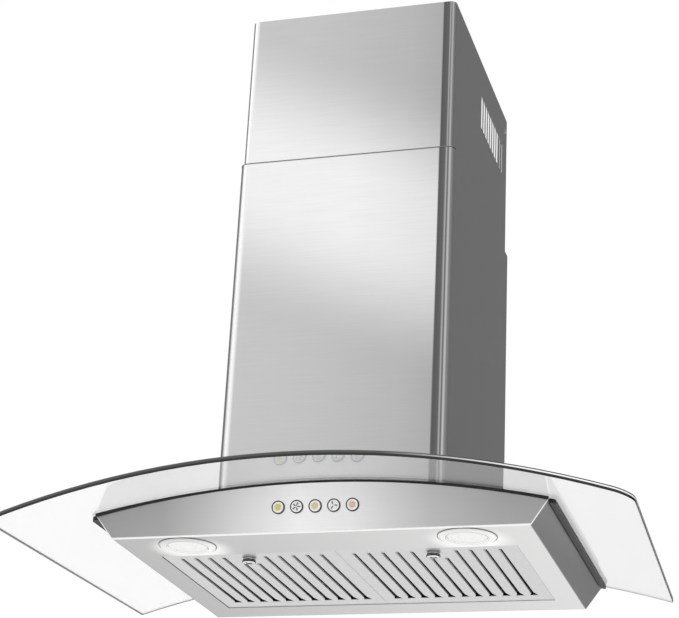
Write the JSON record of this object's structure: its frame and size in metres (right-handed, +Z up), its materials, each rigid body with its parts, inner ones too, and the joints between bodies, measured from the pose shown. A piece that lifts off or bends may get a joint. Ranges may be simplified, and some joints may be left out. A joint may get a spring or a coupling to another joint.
{
  "type": "wall chimney range hood",
  "caption": "Chimney range hood with a bent glass canopy, telescoping steel covers, drop-down slotted grease filters, lamps and front push buttons.",
  "frame": {"origin": "on the wall face at mid-width, level with the body's underside", "axes": "+X right seen from the front, +Y into the wall so the front faces -Y, +Z up"},
  "size_m": [0.7606, 0.486, 0.7336],
  "materials": {
    "brushed_steel": "brushed along the width",
    "filter_steel": "brushed, pressed slots",
    "filter_mesh": "layered expanded mesh",
    "galvanised_steel": "galvanised sheet",
    "canopy_glass": "clear, polished edge",
    "seal_rubber": "matt",
    "rail_metal": "satin",
    "polished_steel": "polished",
    "button_metal": "satin cap with a tinted centre",
    "lamp_lens": "frosted",
    "lamp_body": "spun",
    "motor_paint": "semi-gloss",
    "black_plastic": "moulded",
    "circuit_board": "varnished"
  },
  "bodies": {
    "hood": {"front_panel": "brushed_steel", "side_panel_left": "brushed_steel", "side_panel_right": "brushed_steel", "rear_panel": "brushed_steel", "bottom_pan": "brushed_steel", "top_deck": "galvanised_steel", "canopy_seal": "seal_rubber", "glass_rail_left": "rail_metal", "glass_rail_right": "rail_metal", "glass_canopy": "canopy_glass", "glass_grommets": "seal_rubber", "glass_screws": "polished_steel", "chimney_lower": "brushed_steel", "cover_angles": "galvanised_steel", "blower_box": "galvanised_steel", "wall_plate": "galvanised_steel", "volute": "galvanised_steel", "inlet_ring_left": "galvanised_steel", "inlet_ring_right": "galvanised_steel", "motor": "motor_paint", "motor_bracket": "galvanised_steel", "control_box": "black_plastic", "control_lid": "black_plastic", "control_board": "circuit_board", "run_capacitor": "motor_paint", "terminal_block": "black_plastic", "cable_gland": "black_plastic", "duct_collar": "galvanised_steel", "collar_flange": "galvanised_steel", "damper_pin": "galvanised_steel", "lamp_bezel_left": "polished_steel", "lamp_bezel_right": "polished_steel", "lamp_lens_left": "lamp_lens", "lamp_lens_right": "lamp_lens", "lamp_can_left": "lamp_body", "lamp_can_right": "lamp_body", "lamp_clips_left": "galvanised_steel", "lamp_clips_right": "galvanised_steel", "button_bezels": "polished_steel", "switch_block": "black_plastic", "switch_bracket": "galvanised_steel"},
    "upper_chimney": {"chimney_upper": "brushed_steel"},
    "fan": {"fan_wheel": "galvanised_steel", "motor_shaft": "polished_steel"},
    "damper_left": {"damper_flap_left": "galvanised_steel"},
    "filter_left": {"filter_tray_left": "filter_steel", "filter_mesh_left": "filter_mesh"},
    "latch_left": {"latch_knob_left": "polished_steel", "latch_bolt_left": "polished_steel"},
    "damper_right": {"damper_flap_right": "galvanised_steel"},
    "filter_right": {"filter_tray_right": "filter_steel", "filter_mesh_right": "filter_mesh"},
    "latch_right": {"latch_knob_right": "polished_steel", "latch_bolt_right": "polished_steel"},
    "button_1": {"push_button_1": "button_metal"},
    "button_2": {"push_button_2": "button_metal"},
    "button_3": {"push_button_3": "button_metal"},
    "button_4": {"push_button_4": "button_metal"},
    "button_5": {"push_button_5": "button_metal"}
  },
  "joints": [
    {"name": "chimney_slide", "type": "slide", "parent": "hood", "child": "upper_chimney", "axis": [0, 0, 1], "range_m": [-0.2, 0.11]},
    {"name": "fan_spin", "type": "hinge", "parent": "hood", "child": "fan", "pos_m": [0, -0.118, 0.165], "axis": [1, 0, 0], "continuous": true},
    {"name": "damper_left_swing", "type": "hinge", "parent": "hood", "child": "damper_left", "pos_m": [0, -0.172, 0.284], "axis": [0, 1, 0], "range_deg": [0, 75]},
    {"name": "filter_left_drop", "type": "hinge", "parent": "hood", "child": "filter_left", "pos_m": [0, -0.049, 0.0008], "axis": [1, 0, 0], "range_deg": [0, 80]},
    {"name": "latch_left_pull", "type": "slide", "parent": "filter_left", "child": "latch_left", "axis": [0, 1, 0], "range_m": [0, 0.007], "stiffness_N_per_m": 400, "springref_m": -0.002},
    {"name": "damper_right_swing", "type": "hinge", "parent": "hood", "child": "damper_right", "pos_m": [0, -0.172, 0.284], "axis": [0, -1, 0], "range_deg": [0, 75]},
    {"name": "filter_right_drop", "type": "hinge", "parent": "hood", "child": "filter_right", "pos_m": [0, -0.049, 0.0008], "axis": [1, 0, 0], "range_deg": [0, 80]},
    {"name": "latch_right_pull", "type": "slide", "parent": "filter_right", "child": "latch_right", "axis": [0, 1, 0], "range_m": [0, 0.007], "stiffness_N_per_m": 400, "springref_m": -0.002},
    {"name": "button_1_press", "type": "slide", "parent": "hood", "child": "button_1", "axis": [0, 0.9903, 0.1392], "range_m": [0, 0.0015], "stiffness_N_per_m": 900, "springref_m": -0.0005},
    {"name": "button_2_press", "type": "slide", "parent": "hood", "child": "button_2", "axis": [0, 0.9903, 0.1392], "range_m": [0, 0.0015], "stiffness_N_per_m": 900, "springref_m": -0.0005},
    {"name": "button_3_press", "type": "slide", "parent": "hood", "child": "button_3", "axis": [0, 0.9903, 0.1392], "range_m": [0, 0.0015], "stiffness_N_per_m": 900, "springref_m": -0.0005},
    {"name": "button_4_press", "type": "slide", "parent": "hood", "child": "button_4", "axis": [0, 0.9903, 0.1392], "range_m": [0, 0.0015], "stiffness_N_per_m": 900, "springref_m": -0.0005},
    {"name": "button_5_press", "type": "slide", "parent": "hood", "child": "button_5", "axis": [0, 0.9903, 0.1392], "range_m": [0, 0.0015], "stiffness_N_per_m": 900, "springref_m": -0.0005}
  ]
}
